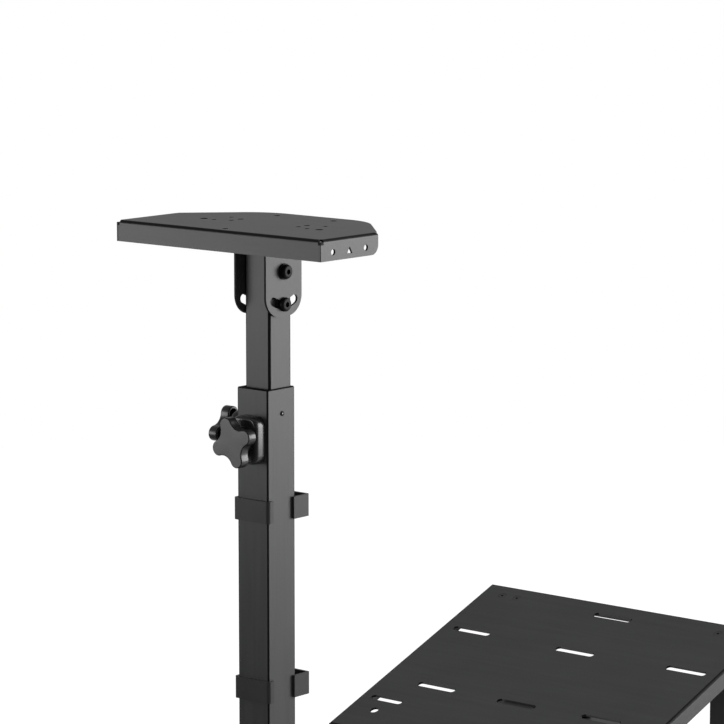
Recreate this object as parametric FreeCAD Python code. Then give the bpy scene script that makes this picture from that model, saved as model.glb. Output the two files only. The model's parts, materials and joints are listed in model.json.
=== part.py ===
import FreeCAD
import Part
import math
import os

# Racing wheel stand: a telescoping square column that carries a tilting deck for a
# steering wheel, on a floor frame that carries a sloping pedal plate.
# Millimetres. +X to the driver's right, +Y from the driver to the pedals, +Z up,
# the floor at Z = 0. The pieces are modelled with the column's axis at X = Y = 0, and
# are moved by COLUMN_Y at the end so that the floor frame is centred on the origin.

# Clearances
SEAT_GAP = 0.3           # between two pieces that slide or turn on each other
RUNNING_FIT = 0.05       # radial, between a turning screw or pin and its bore
BOLT_SLACK = 0.4         # radial, between a fixed bolt and its hole
PLATE_PLAY = 0.2         # between a spacer or washer and the ear that turns beside it

# Square steel tube
TUBE = 40.0
TUBE_WALL = 2.0
TUBE_CORNER = 1.6
TUBE_TOP = 500.0         # mouth of the outer column tube above the floor
MAST = 32.0              # inner tube that slides in the column
MAST_WALL = 1.5
MAST_CORNER = 2.4
MAST_LENGTH = 470.0
MAST_ABOVE = 140.6       # how far the mast stands out of the column in the photo
MAST_CAP = 3.0
CAP_PLUG = 12.0          # how deep a plastic cap's plug goes into its tube

# Fasteners
M8 = 8.0
M8_WASHER = 16.0
WASHER_THICK = 1.6
M8_HEAD = 14.0
M8_HEAD_HIGH = 4.4
M8_HEAD_FLAT = 9.5       # flat ring in the middle of a button head
M8_SOCKET = 5.0          # across the flats
M8_SOCKET_DEEP = 2.6
M8_NUT = 13.0            # across the flats
M8_NUT_HIGH = 8.0
M5 = 5.0
M5_HEAD = 9.2            # countersunk head, a right-angled cone
M5_SOCKET = 3.0
M5_SOCKET_DEEP = 1.5
M5_SINK = 0.1            # how far its face lies below the plate's face
FOOT_BOLT_LONG = 16.0
BOLT_END = 3.0           # how far a through bolt stands out of its nut
SPACER_WIDE = 15.0       # nylon ring between the mast and an ear

# Wheel deck, one folded sheet
DECK_WIDE = 265.0
DECK_SHEET = 2.3
DECK_TOP = 161.0         # top face above the mouth of the column
DECK_FRONT = 70.0        # front flange ahead of the column's axis
DECK_REAR = 78.0
DECK_FLANGE = 21.0
DECK_BEND = 3.5          # outer radius of a fold
DECK_SIDE_END = 13.0     # where the side flanges stop behind the axis
DECK_SIDE_CORNER = 9.5
DECK_NOTCH = 4.0         # how far a fold ends before the corner
DECK_SEAM = 0.2          # open seam where two flanges meet below it
DECK_TIP_CORNER = 2.5    # upper rear corner of a side flange
DECK_SLANT_START = 11.5  # where a rear corner's 45 degree edge would meet the side
DECK_REAR_CORNER = 60.0  # radius between the rear edge and a slanted edge

# Holes in the deck: distance from the middle, distance behind the axis, diameter
DECK_HOLE_PAIRS = [
    (75.0, -6.5, 8.0),
    (60.7, -7.6, 5.0),
    (61.2, 18.5, 4.5),
    (43.8, -1.1, 5.5),
    (43.1, 12.1, 6.0),
    (36.8, 58.7, 6.0),
]
DECK_MIDDLE_HOLE = (-57.4, 6.0)
SIDE_HOLE = 6.0
SIDE_HOLES_Y = (-52.4, -5.0)
SIDE_HOLE_DROP = 13.0    # below the top face
TRIANGLE_Y = -28.6
TRIANGLE_SIDE = 7.7

# Tilt bracket under the deck
EAR_GAP = 2.3            # between the mast and an ear
EAR_SHEET = 2.5
EAR_LONG = 52.0
EAR_BEND = 4.0
EAR_BOTTOM_CORNER = 20.0
EAR_BELOW_LOCK = 11.7    # from the lock bolt down to the ear's lower edge
PIVOT_BELOW_DECK = 45.4
LOCK_RADIUS = 32.1       # from the pivot to the lock bolt
SLOT_WIDE = 8.8
SLOT_HALF_ANGLE = 28.5

# Clamp knobs, one on the driver's side and one on the left of the column
KNOB_BELOW_TOP = 48.8
COLLAR_WIDE = 34.0
COLLAR_HIGH = 47.0
COLLAR_THICK = 13.0
COLLAR_CORNER = 9.5
COLLAR_EDGE = 3.5
STAR_LOBES = 4
STAR_PITCH = 18.5        # axis to the middle of a lobe
STAR_LOBE = 6.9          # radius of a lobe
STAR_VALLEY = 9.0        # radius of the hollow between two lobes
STAR_THICK = 11.0
STAR_EDGE = 0.8
FRONT_STANDOFF = 21.0    # from the tube's face to the back of the star
LEFT_STANDOFF = 23.2
HUB = 24.0
KNOB_SCREW = 8.0
FRONT_KNOB_TURN = 22.0
LEFT_KNOB_TURN = 0.0

# Rivet near the mouth of the column
RIVET_DROP = 24.0
RIVET_Y = 1.2
RIVET_HEAD = 5.0
RIVET_HEAD_HIGH = 1.0
RIVET_SHANK = 3.2

# Cable clips, snapped round the column
CLIP_HIGH = 22.0
CLIP_WALL = 3.0
CLIP_CORNER = 3.5
CLIP_CHANNEL = 16.0      # free depth behind the column
CLIP_LIP = 4.8           # front lip on the right face
CLIP_JAW = 4.7           # how far the rear jaw reaches forward along the right face
CLIP_DROPS = (119.5, 299.2)

# Floor frame
FOOT_HIGH = 6.0
FOOT_WIDE = 32.0
FOOT_INSET = 25.0        # from a crossbar's end to the middle of its foot
CROSSBAR = 460.0
END_CAP = 3.0
REAR_BAR = 110.0         # rear crossbar's axis ahead of the column's axis
FRONT_BAR_LEAD = 13.0    # front crossbar's axis short of the plate's far edge
FOOT_PLATE_WIDE = 60.0
FOOT_PLATE_LONG = 100.0
FOOT_PLATE_THICK = 5.0
FOOT_PLATE_CORNER = 6.0
FOOT_BOLT_SPREAD = (26.0, 80.0)
GUSSET_THICK = 4.0
GUSSET_LONG = 27.0
GUSSET_HIGH = 60.0
GUSSET_TOE = 8.0
JOINT_PLATE_THICK = 3.0
JOINT_PLATE_WIDE = 120.0
JOINT_PLATE_TONGUE = 30.0
JOINT_BOLT_SPREAD = 90.0

# Pedal plate, a folded tray with welded corners
PLATE_WIDE = 378.0
PLATE_LONG = 308.0
PLATE_SHEET = 2.5
PLATE_FLANGE = 18.5
PLATE_BEND = 3.0
PLATE_SLOPE = 20.65
PLATE_EDGE_Y = 598.0     # far edge from the column's axis
PLATE_EDGE_Z = 180.1     # far edge above the floor
SLOT_LONG = 51.7
PEDAL_SLOT = 8.0
# Slots: distance from the middle, distance down from the far edge, length
PLATE_SLOTS = [
    (0.0, 24.8, SLOT_LONG),
    (0.0, 99.3, SLOT_LONG),
    (0.0, 210.3, SLOT_LONG),
    (-147.0, 96.5, SLOT_LONG),
    (147.0, 96.5, SLOT_LONG),
    (-112.0, 208.5, SLOT_LONG),
    (112.0, 208.5, SLOT_LONG),
    (-153.0, 247.5, 43.5),
    (153.0, 247.5, 43.5),
]
PLATE_HOLES = [(-153.0, 269.6), (153.0, 269.6)]
PLATE_HOLE = 9.8

# Supports of the pedal plate
UPRIGHT = 25.0
UPRIGHT_WALL = 1.5
UPRIGHT_INSET = 40.0     # upright's axis from the plate's side
UPRIGHT_LEAD = 17.5      # upright's axis short of the plate's far edge
TAB_WIDE = 44.0
TAB_THICK = 4.0
TAB_START = 7.8          # down from the plate's far edge
TAB_LONG = 25.0
TAB_SCREW_SPREAD = 21.0
TAB_SCREW_DOWN = 20.1
SADDLE_SHEET = 3.0
SADDLE_DOWN = 190.3      # from the plate's far edge to the saddle
SADDLE_LONG = 40.0
SADDLE_LAP = 30.0        # how far its cheeks reach down beside the beam
SADDLE_BEND = 4.0

# Sizes that follow
COLUMN_HALF = TUBE / 2
MAST_HALF = MAST / 2
# The clamp screws push the mast against the column's rear and right walls.
MAST_OFF = COLUMN_HALF - TUBE_WALL - MAST_HALF - SEAT_GAP
EAR_INSIDE = MAST_HALF + EAR_GAP
EAR_OUTSIDE = EAR_INSIDE + EAR_SHEET
DECK_Z = TUBE_TOP + DECK_TOP
PIVOT_Z = DECK_Z - PIVOT_BELOW_DECK
LOCK_Z = PIVOT_Z - LOCK_RADIUS
KNOB_Z = TUBE_TOP - KNOB_BELOW_TOP
BAR_TOP = FOOT_HIGH + TUBE
BAR_MIDDLE = FOOT_HIGH + TUBE / 2
REAR_BAR_Y = -REAR_BAR
FRONT_BAR_Y = PLATE_EDGE_Y - FRONT_BAR_LEAD
UPRIGHT_X = PLATE_WIDE / 2 - UPRIGHT_INSET
UPRIGHT_Y = PLATE_EDGE_Y - UPRIGHT_LEAD
COLUMN_Y = -(FRONT_BAR_Y + REAR_BAR_Y) / 2
SLOPE = math.radians(PLATE_SLOPE)

X_AXIS = FreeCAD.Vector(1, 0, 0)
Y_AXIS = FreeCAD.Vector(0, 1, 0)
Z_AXIS = FreeCAD.Vector(0, 0, 1)
ORIGIN = FreeCAD.Vector(0, 0, 0)


def point(x, y, z=0.0):
    return FreeCAD.Vector(x, y, z)


def block(x0, x1, y0, y1, z0, z1):
    """A box between two corners."""
    return Part.makeBox(x1 - x0, y1 - y0, z1 - z0, point(x0, y0, z0))


def rod(diameter, start, end):
    """A round bar from one point to another."""
    run = end - start
    return Part.makeCylinder(diameter / 2, run.Length, start, run)


def hexagon_bar(flats, start, end):
    """A six-sided bar from one point to another."""
    run = end - start
    corners = []
    for corner in range(7):
        turn = math.radians(60 * corner)
        reach = flats / math.sqrt(3)
        corners.append(point(reach * math.cos(turn), reach * math.sin(turn)))
    bar = Part.Face(Part.makePolygon(corners)).extrude(Z_AXIS * run.Length)
    bar.Placement = FreeCAD.Placement(start, FreeCAD.Rotation(Z_AXIS, run))
    return bar


def rounded_rectangle(width, depth, radius):
    """A flat rectangle with round corners, centred on the Z axis."""
    half_x = width / 2
    half_y = depth / 2
    inner_x = half_x - radius
    inner_y = half_y - radius
    diagonal = radius * math.sqrt(0.5)
    edges = []
    previous = point(-inner_x, -half_y)
    for sx, sy, x_first in ((1, -1, False), (1, 1, True), (-1, 1, False), (-1, -1, True)):
        along_y = point(sx * inner_x, sy * half_y)
        along_x = point(sx * half_x, sy * inner_y)
        start, end = (along_x, along_y) if x_first else (along_y, along_x)
        middle = point(sx * (inner_x + diagonal), sy * (inner_y + diagonal))
        edges.append(Part.LineSegment(previous, start).toShape())
        edges.append(Part.Arc(start, middle, end).toShape())
        previous = end
    return Part.Face(Part.Wire(edges))


def tube_along_z(size, wall, length, corner=TUBE_CORNER):
    """A square tube with round corners that stands on the XY plane."""
    outside = rounded_rectangle(size, size, corner)
    inner = size - 2 * wall
    inside = rounded_rectangle(inner, inner, max(corner - wall, 0.5))
    return outside.cut(inside).extrude(Z_AXIS * length)


def tube_between(size, wall, start, end, corner=TUBE_CORNER):
    """A square tube from one point to another, its sides square to the axes."""
    run = end - start
    tube = tube_along_z(size, wall, run.Length, corner)
    if abs(run.x) > abs(run.z):
        turn = FreeCAD.Rotation(Y_AXIS, 90)
    elif abs(run.y) > abs(run.z):
        turn = FreeCAD.Rotation(X_AXIS, -90)
    else:
        turn = FreeCAD.Rotation()
    tube.Placement = FreeCAD.Placement(start, turn)
    return tube


def prism_along_x(outline, x0, x1):
    """A solid from an outline of (y, z) points, from x0 to x1."""
    corners = [point(x0, y, z) for y, z in outline]
    corners.append(corners[0])
    return Part.Face(Part.makePolygon(corners)).extrude(X_AXIS * (x1 - x0))


def slot_cutter(length, width, depth):
    """A long round-ended cutter along X, centred, from -depth to +depth."""
    reach = length / 2 - width / 2
    middle = block(-reach, reach, -width / 2, width / 2, -depth, depth)
    ends = [rod(width, point(side * reach, 0, -depth), point(side * reach, 0, depth))
            for side in (-1, 1)]
    return middle.fuse(ends).removeSplitter()


def folded_strip(length, leg, flange, sheet, bend):
    """A sheet along X that lies on the XZ corner and folds down over its front edge.

    The outer face of the flange is at y = 0 and the top face at z = 0; the flat leg
    reaches to y = leg.
    """
    outside = block(0, length, 0, leg, -flange, 0)
    front_edge = [edge for edge in outside.Edges
                  if edge.BoundBox.YMax < 0.01 and edge.BoundBox.ZMin > -0.01]
    outside = outside.makeFillet(bend, front_edge)
    inside = block(-1, length + 1, sheet, leg + 1, -flange - 1, -sheet)
    inner_edge = [edge for edge in inside.Edges
                  if edge.BoundBox.YMax < sheet + 0.01 and edge.BoundBox.ZMin > -sheet - 0.01]
    inside = inside.makeFillet(bend - sheet, inner_edge)
    return outside.cut(inside)


def chamfered_bar(outline, length, edge):
    """An extruded outline whose top rim is chamfered."""
    bar = outline.extrude(Z_AXIS * length)
    rim = [line for line in bar.Edges if line.BoundBox.ZMin > length - 0.01]
    return bar.makeChamfer(edge, rim)


def moved(shape, offset, axis=Z_AXIS, angle=0.0):
    """A copy turned about the origin and then moved."""
    copy = shape.copy()
    copy.Placement = FreeCAD.Placement(offset, FreeCAD.Rotation(axis, angle)).multiply(copy.Placement)
    return copy


def deck_outline():
    """The flat top of the deck between its folds, as a face."""
    half = DECK_WIDE / 2
    front = -DECK_FRONT + DECK_BEND
    side = half - DECK_BEND
    centre_y = DECK_REAR - DECK_REAR_CORNER
    # Each rear corner is cut at 45 degrees; an arc joins the cut to the rear edge.
    corner_x = half + DECK_SLANT_START - DECK_REAR
    turn = math.pi / 4
    flat = corner_x - DECK_REAR_CORNER * math.tan(turn / 2)

    def on_corner(angle, sign):
        return point(sign * (flat + DECK_REAR_CORNER * math.sin(angle)),
                     centre_y + DECK_REAR_CORNER * math.cos(angle))

    front_left = point(-side, front)
    front_right = point(side, front)
    slant_y = DECK_SLANT_START + DECK_BEND
    slant_right = point(side, slant_y)
    slant_left = point(-side, slant_y)
    edges = [
        Part.LineSegment(front_left, front_right).toShape(),
        Part.LineSegment(front_right, slant_right).toShape(),
        Part.LineSegment(slant_right, on_corner(turn, 1)).toShape(),
        Part.Arc(on_corner(turn, 1), on_corner(turn / 2, 1), on_corner(0, 1)).toShape(),
        Part.LineSegment(on_corner(0, 1), on_corner(0, -1)).toShape(),
        Part.Arc(on_corner(0, -1), on_corner(turn / 2, -1), on_corner(turn, -1)).toShape(),
        Part.LineSegment(on_corner(turn, -1), slant_left).toShape(),
        Part.LineSegment(slant_left, front_left).toShape(),
    ]
    return Part.Face(Part.Wire(edges))


def make_wheel_deck():
    """The folded deck that the steering wheel clamps to."""
    half = DECK_WIDE / 2
    top = moved(deck_outline().extrude(Z_AXIS * -DECK_SHEET), point(0, 0, DECK_Z))
    front_long = DECK_WIDE - 2 * DECK_NOTCH
    leg = 3 * DECK_BEND
    front = moved(folded_strip(front_long, leg, DECK_FLANGE, DECK_SHEET, DECK_BEND),
                  point(-front_long / 2, -DECK_FRONT, DECK_Z))
    side_long = DECK_SIDE_END + DECK_FRONT - DECK_NOTCH
    strip = folded_strip(side_long, leg, DECK_FLANGE, DECK_SHEET, DECK_BEND)
    left = moved(strip, point(-half, DECK_SIDE_END, DECK_Z), Z_AXIS, -90)
    right = moved(strip, point(half, -DECK_FRONT + DECK_NOTCH, DECK_Z), Z_AXIS, 90)
    # Below the corner relief the side flanges cover the ends of the front flange.
    low = DECK_Z - DECK_FLANGE
    high = DECK_Z - DECK_SHEET
    inside = half - DECK_SHEET
    front_edge = -DECK_FRONT
    side_start = front_edge + DECK_NOTCH
    front_end = inside - DECK_SEAM
    fills = [block(-half, -inside, front_edge, side_start, low, high),
             block(inside, half, front_edge, side_start, low, high),
             block(-front_end, -front_long / 2, front_edge, front_edge + DECK_SHEET, low, high),
             block(front_long / 2, front_end, front_edge, front_edge + DECK_SHEET, low, high)]
    deck = top.fuse([front, left, right] + fills).removeSplitter()
    cutters = []
    corner_y = DECK_SIDE_END - DECK_SIDE_CORNER
    corner_z = low + DECK_SIDE_CORNER
    waste = block(-half - 1, half + 1, corner_y, DECK_SIDE_END + 1, low - 1, corner_z)
    keep = rod(2 * DECK_SIDE_CORNER, point(-half - 2, corner_y, corner_z), point(half + 2, corner_y, corner_z))
    cutters.append(waste.cut(keep))
    tip_y = DECK_SIDE_END - DECK_TIP_CORNER
    tip_z = DECK_Z - DECK_TIP_CORNER
    keep = rod(2 * DECK_TIP_CORNER, point(-half - 2, tip_y, tip_z), point(half + 2, tip_y, tip_z))
    for x0, x1 in ((-half - 1, -half + DECK_BEND), (half - DECK_BEND, half + 1)):
        cutters.append(block(x0, x1, tip_y, DECK_SIDE_END + 1, tip_z, DECK_Z + 1).cut(keep))
    for side in (-1, 1):
        for x, y, diameter in DECK_HOLE_PAIRS:
            cutters.append(rod(diameter, point(side * x, y, DECK_Z - DECK_SHEET - 1), point(side * x, y, DECK_Z + 1)))
    hole_y, hole = DECK_MIDDLE_HOLE
    cutters.append(rod(hole, point(0, hole_y, DECK_Z - DECK_SHEET - 1), point(0, hole_y, DECK_Z + 1)))
    hole_z = DECK_Z - SIDE_HOLE_DROP
    for y in SIDE_HOLES_Y:
        cutters.append(rod(SIDE_HOLE, point(-half - 1, y, hole_z), point(half + 1, y, hole_z)))
    triangle_high = TRIANGLE_SIDE * math.sqrt(3) / 2
    triangle = [(TRIANGLE_Y - TRIANGLE_SIDE / 2, hole_z - triangle_high / 2),
                (TRIANGLE_Y + TRIANGLE_SIDE / 2, hole_z - triangle_high / 2),
                (TRIANGLE_Y, hole_z + triangle_high / 2)]
    cutters.append(prism_along_x(triangle, -half - 1, half + 1))
    return deck.cut(cutters)


def make_tilt_bracket():
    """The bent bracket under the deck: a web and two ears with arc slots."""
    web_top = DECK_Z - DECK_SHEET
    bottom = LOCK_Z - EAR_BELOW_LOCK
    half = EAR_LONG / 2
    outside = block(-EAR_OUTSIDE, EAR_OUTSIDE, -half, half, bottom, web_top)
    top_edges = [edge for edge in outside.Edges
                 if edge.BoundBox.ZMin > web_top - 0.01 and edge.BoundBox.YLength > 1]
    outside = outside.makeFillet(EAR_BEND, top_edges)
    foot_edges = [edge for edge in outside.Edges
                  if edge.BoundBox.ZMax < bottom + 0.01 and edge.BoundBox.XLength > 1]
    outside = outside.makeFillet(EAR_BOTTOM_CORNER, foot_edges)
    inside = block(-EAR_INSIDE, EAR_INSIDE, -half - 1, half + 1, bottom - 1, web_top - EAR_SHEET)
    inner_edges = [edge for edge in inside.Edges
                   if edge.BoundBox.ZMin > web_top - EAR_SHEET - 0.01 and edge.BoundBox.YLength > 1]
    inside = inside.makeFillet(EAR_BEND - EAR_SHEET, inner_edges)
    reach = EAR_OUTSIDE + 1
    pivot_hole = rod(M8 + 2 * RUNNING_FIT, point(-reach, 0, PIVOT_Z), point(reach, 0, PIVOT_Z))
    return on_mast(outside.cut([inside, pivot_hole, arc_slot(reach)]))


def on_mast(shape):
    """Takes a piece built about the mast's axis to the mast's place in the column."""
    return moved(shape, point(MAST_OFF, MAST_OFF, 0))


def arc_slot(reach):
    """The cutter for the slots in both ears, an arc about the pivot."""
    inner = LOCK_RADIUS - SLOT_WIDE / 2
    outer = LOCK_RADIUS + SLOT_WIDE / 2

    def place(radius, degrees):
        turn = math.radians(degrees)
        return point(-reach, radius * math.sin(turn), PIVOT_Z - radius * math.cos(turn))

    low = -SLOT_HALF_ANGLE
    high = SLOT_HALF_ANGLE
    end_turn = math.degrees(math.asin(SLOT_WIDE / 2 / LOCK_RADIUS))
    edges = [
        Part.Arc(place(outer, low), place(outer, 0), place(outer, high)).toShape(),
        Part.Arc(place(outer, high), place(LOCK_RADIUS, high + end_turn), place(inner, high)).toShape(),
        Part.Arc(place(inner, high), place(inner, 0), place(inner, low)).toShape(),
        Part.Arc(place(inner, low), place(LOCK_RADIUS, low - end_turn), place(outer, low)).toShape(),
    ]
    return Part.Face(Part.Wire(edges)).extrude(X_AXIS * 2 * reach)


def m8_bolt(seat, direction, length):
    """A button-headed bolt with a hexagon socket, its head on the given seat."""
    top = seat - direction * M8_HEAD_HIGH
    slant = (M8_HEAD - M8_HEAD_FLAT) / 2
    shoulder = top + direction * slant
    head = rod(M8_HEAD, shoulder, seat)
    crown = Part.makeCone(M8_HEAD_FLAT / 2, M8_HEAD / 2, slant, top, direction)
    shank = rod(M8, seat, seat + direction * length)
    key = hexagon_bar(M8_SOCKET, top - direction, top + direction * M8_SOCKET_DEEP)
    return shank.fuse([head, crown]).removeSplitter().cut(key)


def m8_nut(start, direction):
    """A hexagon nut on an M8 bolt, its near face at start."""
    end = start + direction * M8_NUT_HIGH
    return hexagon_bar(M8_NUT, start, end).cut(rod(M8, start - direction, end + direction))


def ring(outer, near, far, height):
    """A washer or spacer on a bolt along X."""
    start = point(near, 0, height)
    end = point(far, 0, height)
    return rod(outer, start, end).cut(rod(M8, start - X_AXIS, end + X_AXIS))


def make_pivot_bolt():
    """The bolt that the deck tilts about, with its head on the right."""
    seat = EAR_OUTSIDE + PLATE_PLAY + WASHER_THICK
    length = 2 * seat + M8_NUT_HIGH + BOLT_END
    return on_mast(m8_bolt(point(seat, 0, PIVOT_Z), -X_AXIS, length))


def make_pivot_nut():
    seat = EAR_OUTSIDE + PLATE_PLAY + WASHER_THICK
    return on_mast(m8_nut(point(-seat, 0, PIVOT_Z), -X_AXIS))


def make_pivot_washers():
    near = EAR_OUTSIDE + PLATE_PLAY
    far = near + WASHER_THICK
    return [on_mast(ring(M8_WASHER, -far, -near, PIVOT_Z)), on_mast(ring(M8_WASHER, near, far, PIVOT_Z))]


def make_pivot_spacers():
    far = EAR_INSIDE - PLATE_PLAY
    return [on_mast(ring(SPACER_WIDE, -far, -MAST_HALF, PIVOT_Z)),
            on_mast(ring(SPACER_WIDE, MAST_HALF, far, PIVOT_Z))]


def make_lock_bolt():
    """The bolt that clamps the right ear to the mast."""
    seat = EAR_OUTSIDE + PLATE_PLAY
    tip = MAST_HALF - MAST_WALL - M8_NUT_HIGH - BOLT_END
    return on_mast(m8_bolt(point(seat, 0, LOCK_Z), -X_AXIS, seat - tip))


def make_lock_nut():
    """The nut of the lock bolt, welded inside the mast."""
    return on_mast(m8_nut(point(MAST_HALF - MAST_WALL, 0, LOCK_Z), -X_AXIS))


def make_lock_spacer():
    return on_mast(ring(SPACER_WIDE, MAST_HALF, EAR_INSIDE - PLATE_PLAY, LOCK_Z))


def make_mast():
    """The inner tube that slides in the column, drilled for the two tilt bolts."""
    top = TUBE_TOP + MAST_ABOVE
    tube = tube_between(MAST, MAST_WALL, point(0, 0, top - MAST_LENGTH), point(0, 0, top), MAST_CORNER)
    hole = M8 + 2 * BOLT_SLACK
    holes = [rod(hole, point(-MAST_HALF - 1, 0, PIVOT_Z), point(MAST_HALF + 1, 0, PIVOT_Z)),
             rod(hole, point(0, 0, LOCK_Z), point(MAST_HALF + 1, 0, LOCK_Z))]
    return on_mast(tube.cut(holes))


def cap_solid(size, wall, corner, thick):
    """A plastic cap on the XY plane: a flange above it and a hollow plug below."""
    flange = chamfered_bar(rounded_rectangle(size, size, corner), thick, min(0.8, thick * 0.3))
    plug_size = size - 2 * wall
    plug = tube_along_z(plug_size, 2.0, CAP_PLUG, max(corner - wall, 0.5))
    plug.translate(point(0, 0, -CAP_PLUG))
    return flange.fuse(plug).removeSplitter()


def make_mast_cap():
    cap = cap_solid(MAST, MAST_WALL, MAST_CORNER, MAST_CAP)
    return on_mast(moved(cap, point(0, 0, TUBE_TOP + MAST_ABOVE)))


def make_column():
    """The outer tube, drilled for the two clamp screws and the rivet."""
    base = BAR_TOP + FOOT_PLATE_THICK
    tube = tube_between(TUBE, TUBE_WALL, point(0, 0, base), point(0, 0, TUBE_TOP))
    screw_hole = KNOB_SCREW + 2 * BOLT_SLACK
    rivet_z = TUBE_TOP - RIVET_DROP
    holes = [
        rod(screw_hole, point(0, -COLUMN_HALF - 1, KNOB_Z), point(0, 0, KNOB_Z)),
        rod(screw_hole, point(-COLUMN_HALF - 1, 0, KNOB_Z), point(0, 0, KNOB_Z)),
        rod(RIVET_SHANK, point(0, RIVET_Y, rivet_z), point(COLUMN_HALF + 1, RIVET_Y, rivet_z)),
    ]
    return tube.cut(holes)


def make_rivet():
    """The small rivet on the right face, just below the mouth of the column."""
    height = TUBE_TOP - RIVET_DROP
    face = point(COLUMN_HALF, RIVET_Y, height)
    head = Part.makeCone(RIVET_HEAD / 2, RIVET_HEAD / 2 - RIVET_HEAD_HIGH, RIVET_HEAD_HIGH, face, X_AXIS)
    return head.fuse(rod(RIVET_SHANK, face - X_AXIS * TUBE_WALL, face)).removeSplitter()


def to_front(shape):
    """Takes a knob piece built along +Z onto the column's face on the driver's side."""
    return moved(shape, point(0, -COLUMN_HALF, KNOB_Z), X_AXIS, 90)


def to_left(shape):
    """Takes a knob piece built along +Z onto the column's left face."""
    upright = moved(shape, ORIGIN, Z_AXIS, 90)
    return moved(upright, point(-COLUMN_HALF, 0, KNOB_Z), Y_AXIS, -90)


def collar_solid():
    """The threaded block under a knob, its back on the XY plane, its height along Y."""
    body = chamfered_bar(rounded_rectangle(COLLAR_WIDE, COLLAR_HIGH, COLLAR_CORNER), COLLAR_THICK, COLLAR_EDGE)
    return body.cut(rod(KNOB_SCREW + 2 * RUNNING_FIT, point(0, 0, -1), point(0, 0, COLLAR_THICK + 1)))


def star_outline(turn):
    """The four-lobed outline of a knob: round lobes joined by round hollows."""
    step = 2 * math.pi / STAR_LOBES
    half = step / 2
    # The hollow's centre lies on the bisector, one lobe and one hollow radius from a lobe.
    reach = STAR_LOBE + STAR_VALLEY
    across = STAR_PITCH * math.sin(half)
    hollow = STAR_PITCH * math.cos(half) + math.sqrt(reach ** 2 - across ** 2)

    def polar(radius, angle):
        return point(radius * math.cos(angle), radius * math.sin(angle))

    edges = []
    for lobe in range(STAR_LOBES):
        angle = math.radians(turn) + lobe * step
        centre = polar(STAR_PITCH, angle)
        before = polar(hollow, angle - half)
        after = polar(hollow, angle + half)
        start = centre + (before - centre) * (STAR_LOBE / reach)
        end = centre + (after - centre) * (STAR_LOBE / reach)
        following = polar(STAR_PITCH, angle + step)
        next_start = following + (after - following) * (STAR_LOBE / reach)
        edges.append(Part.Arc(start, polar(STAR_PITCH + STAR_LOBE, angle), end).toShape())
        edges.append(Part.Arc(end, polar(hollow - STAR_VALLEY, angle + half), next_start).toShape())
    return Part.Face(Part.Wire(edges))


def knob_solid(turn, standoff):
    """A star knob along +Z: screw, hub and star, with the tube's face on the XY plane."""
    star = star_outline(turn).extrude(Z_AXIS * STAR_THICK)
    rims = [edge for edge in star.Edges if edge.BoundBox.ZLength < 0.01]
    star = star.makeChamfer(STAR_EDGE, rims)
    star.translate(point(0, 0, standoff))
    screw_reach = COLUMN_HALF + MAST_OFF - MAST_HALF - SEAT_GAP
    hub = rod(HUB, point(0, 0, COLLAR_THICK + SEAT_GAP), point(0, 0, standoff + STAR_EDGE))
    screw = rod(KNOB_SCREW, point(0, 0, -screw_reach), point(0, 0, standoff + STAR_THICK / 2))
    return star.fuse([hub, screw]).removeSplitter()


def make_front_knob():
    return to_front(knob_solid(FRONT_KNOB_TURN, FRONT_STANDOFF))


def make_left_knob():
    return to_left(knob_solid(LEFT_KNOB_TURN, LEFT_STANDOFF))


def make_cable_clip(drop):
    """A plastic clip round the column with an open channel for cables behind it."""
    outside = COLUMN_HALF + CLIP_WALL
    back = COLUMN_HALF + CLIP_CHANNEL + CLIP_WALL
    long = outside + back
    middle_y = (back - outside) / 2
    shell = rounded_rectangle(2 * outside, long, CLIP_CORNER)
    hollow = rounded_rectangle(2 * COLUMN_HALF, long - 2 * CLIP_WALL, CLIP_CORNER - CLIP_WALL)
    band = moved(shell.cut(hollow).extrude(Z_AXIS * CLIP_HIGH),
                 point(0, middle_y, TUBE_TOP - drop - CLIP_HIGH / 2))
    mouth = block(COLUMN_HALF - 3 * CLIP_WALL, outside + 1, -COLUMN_HALF + CLIP_LIP, COLUMN_HALF - CLIP_JAW,
                  TUBE_TOP - drop - CLIP_HIGH, TUBE_TOP - drop + CLIP_HIGH)
    return band.cut(mouth)


def make_foot_plate():
    """The plate under the column, bolted to the main beam."""
    outline = rounded_rectangle(FOOT_PLATE_WIDE, FOOT_PLATE_LONG, FOOT_PLATE_CORNER)
    plate = moved(outline.extrude(Z_AXIS * FOOT_PLATE_THICK), point(0, 0, BAR_TOP))
    holes = [rod(M8 + 2 * BOLT_SLACK, spot - Z_AXIS, spot + Z_AXIS * (FOOT_PLATE_THICK + 1))
             for spot in foot_bolt_places()]
    return plate.cut(holes)


def foot_bolt_places():
    across, along = FOOT_BOLT_SPREAD
    return [point(side * across / 2, end * along / 2, BAR_TOP) for side in (-1, 1) for end in (-1, 1)]


def make_foot_bolts():
    rise = Z_AXIS * FOOT_PLATE_THICK
    return [m8_bolt(spot + rise, -Z_AXIS, FOOT_BOLT_LONG) for spot in foot_bolt_places()]


def make_gussets():
    """Two welded gussets before and behind the column."""
    base = BAR_TOP + FOOT_PLATE_THICK
    half = GUSSET_THICK / 2
    gussets = []
    for end in (-1, 1):
        outline = [(end * COLUMN_HALF, base),
                   (end * (COLUMN_HALF + GUSSET_LONG), base),
                   (end * (COLUMN_HALF + GUSSET_LONG), base + GUSSET_TOE),
                   (end * (COLUMN_HALF + GUSSET_TOE), base + GUSSET_HIGH),
                   (end * COLUMN_HALF, base + GUSSET_HIGH)]
        gussets.append(prism_along_x(outline, -half, half))
    return gussets


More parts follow.
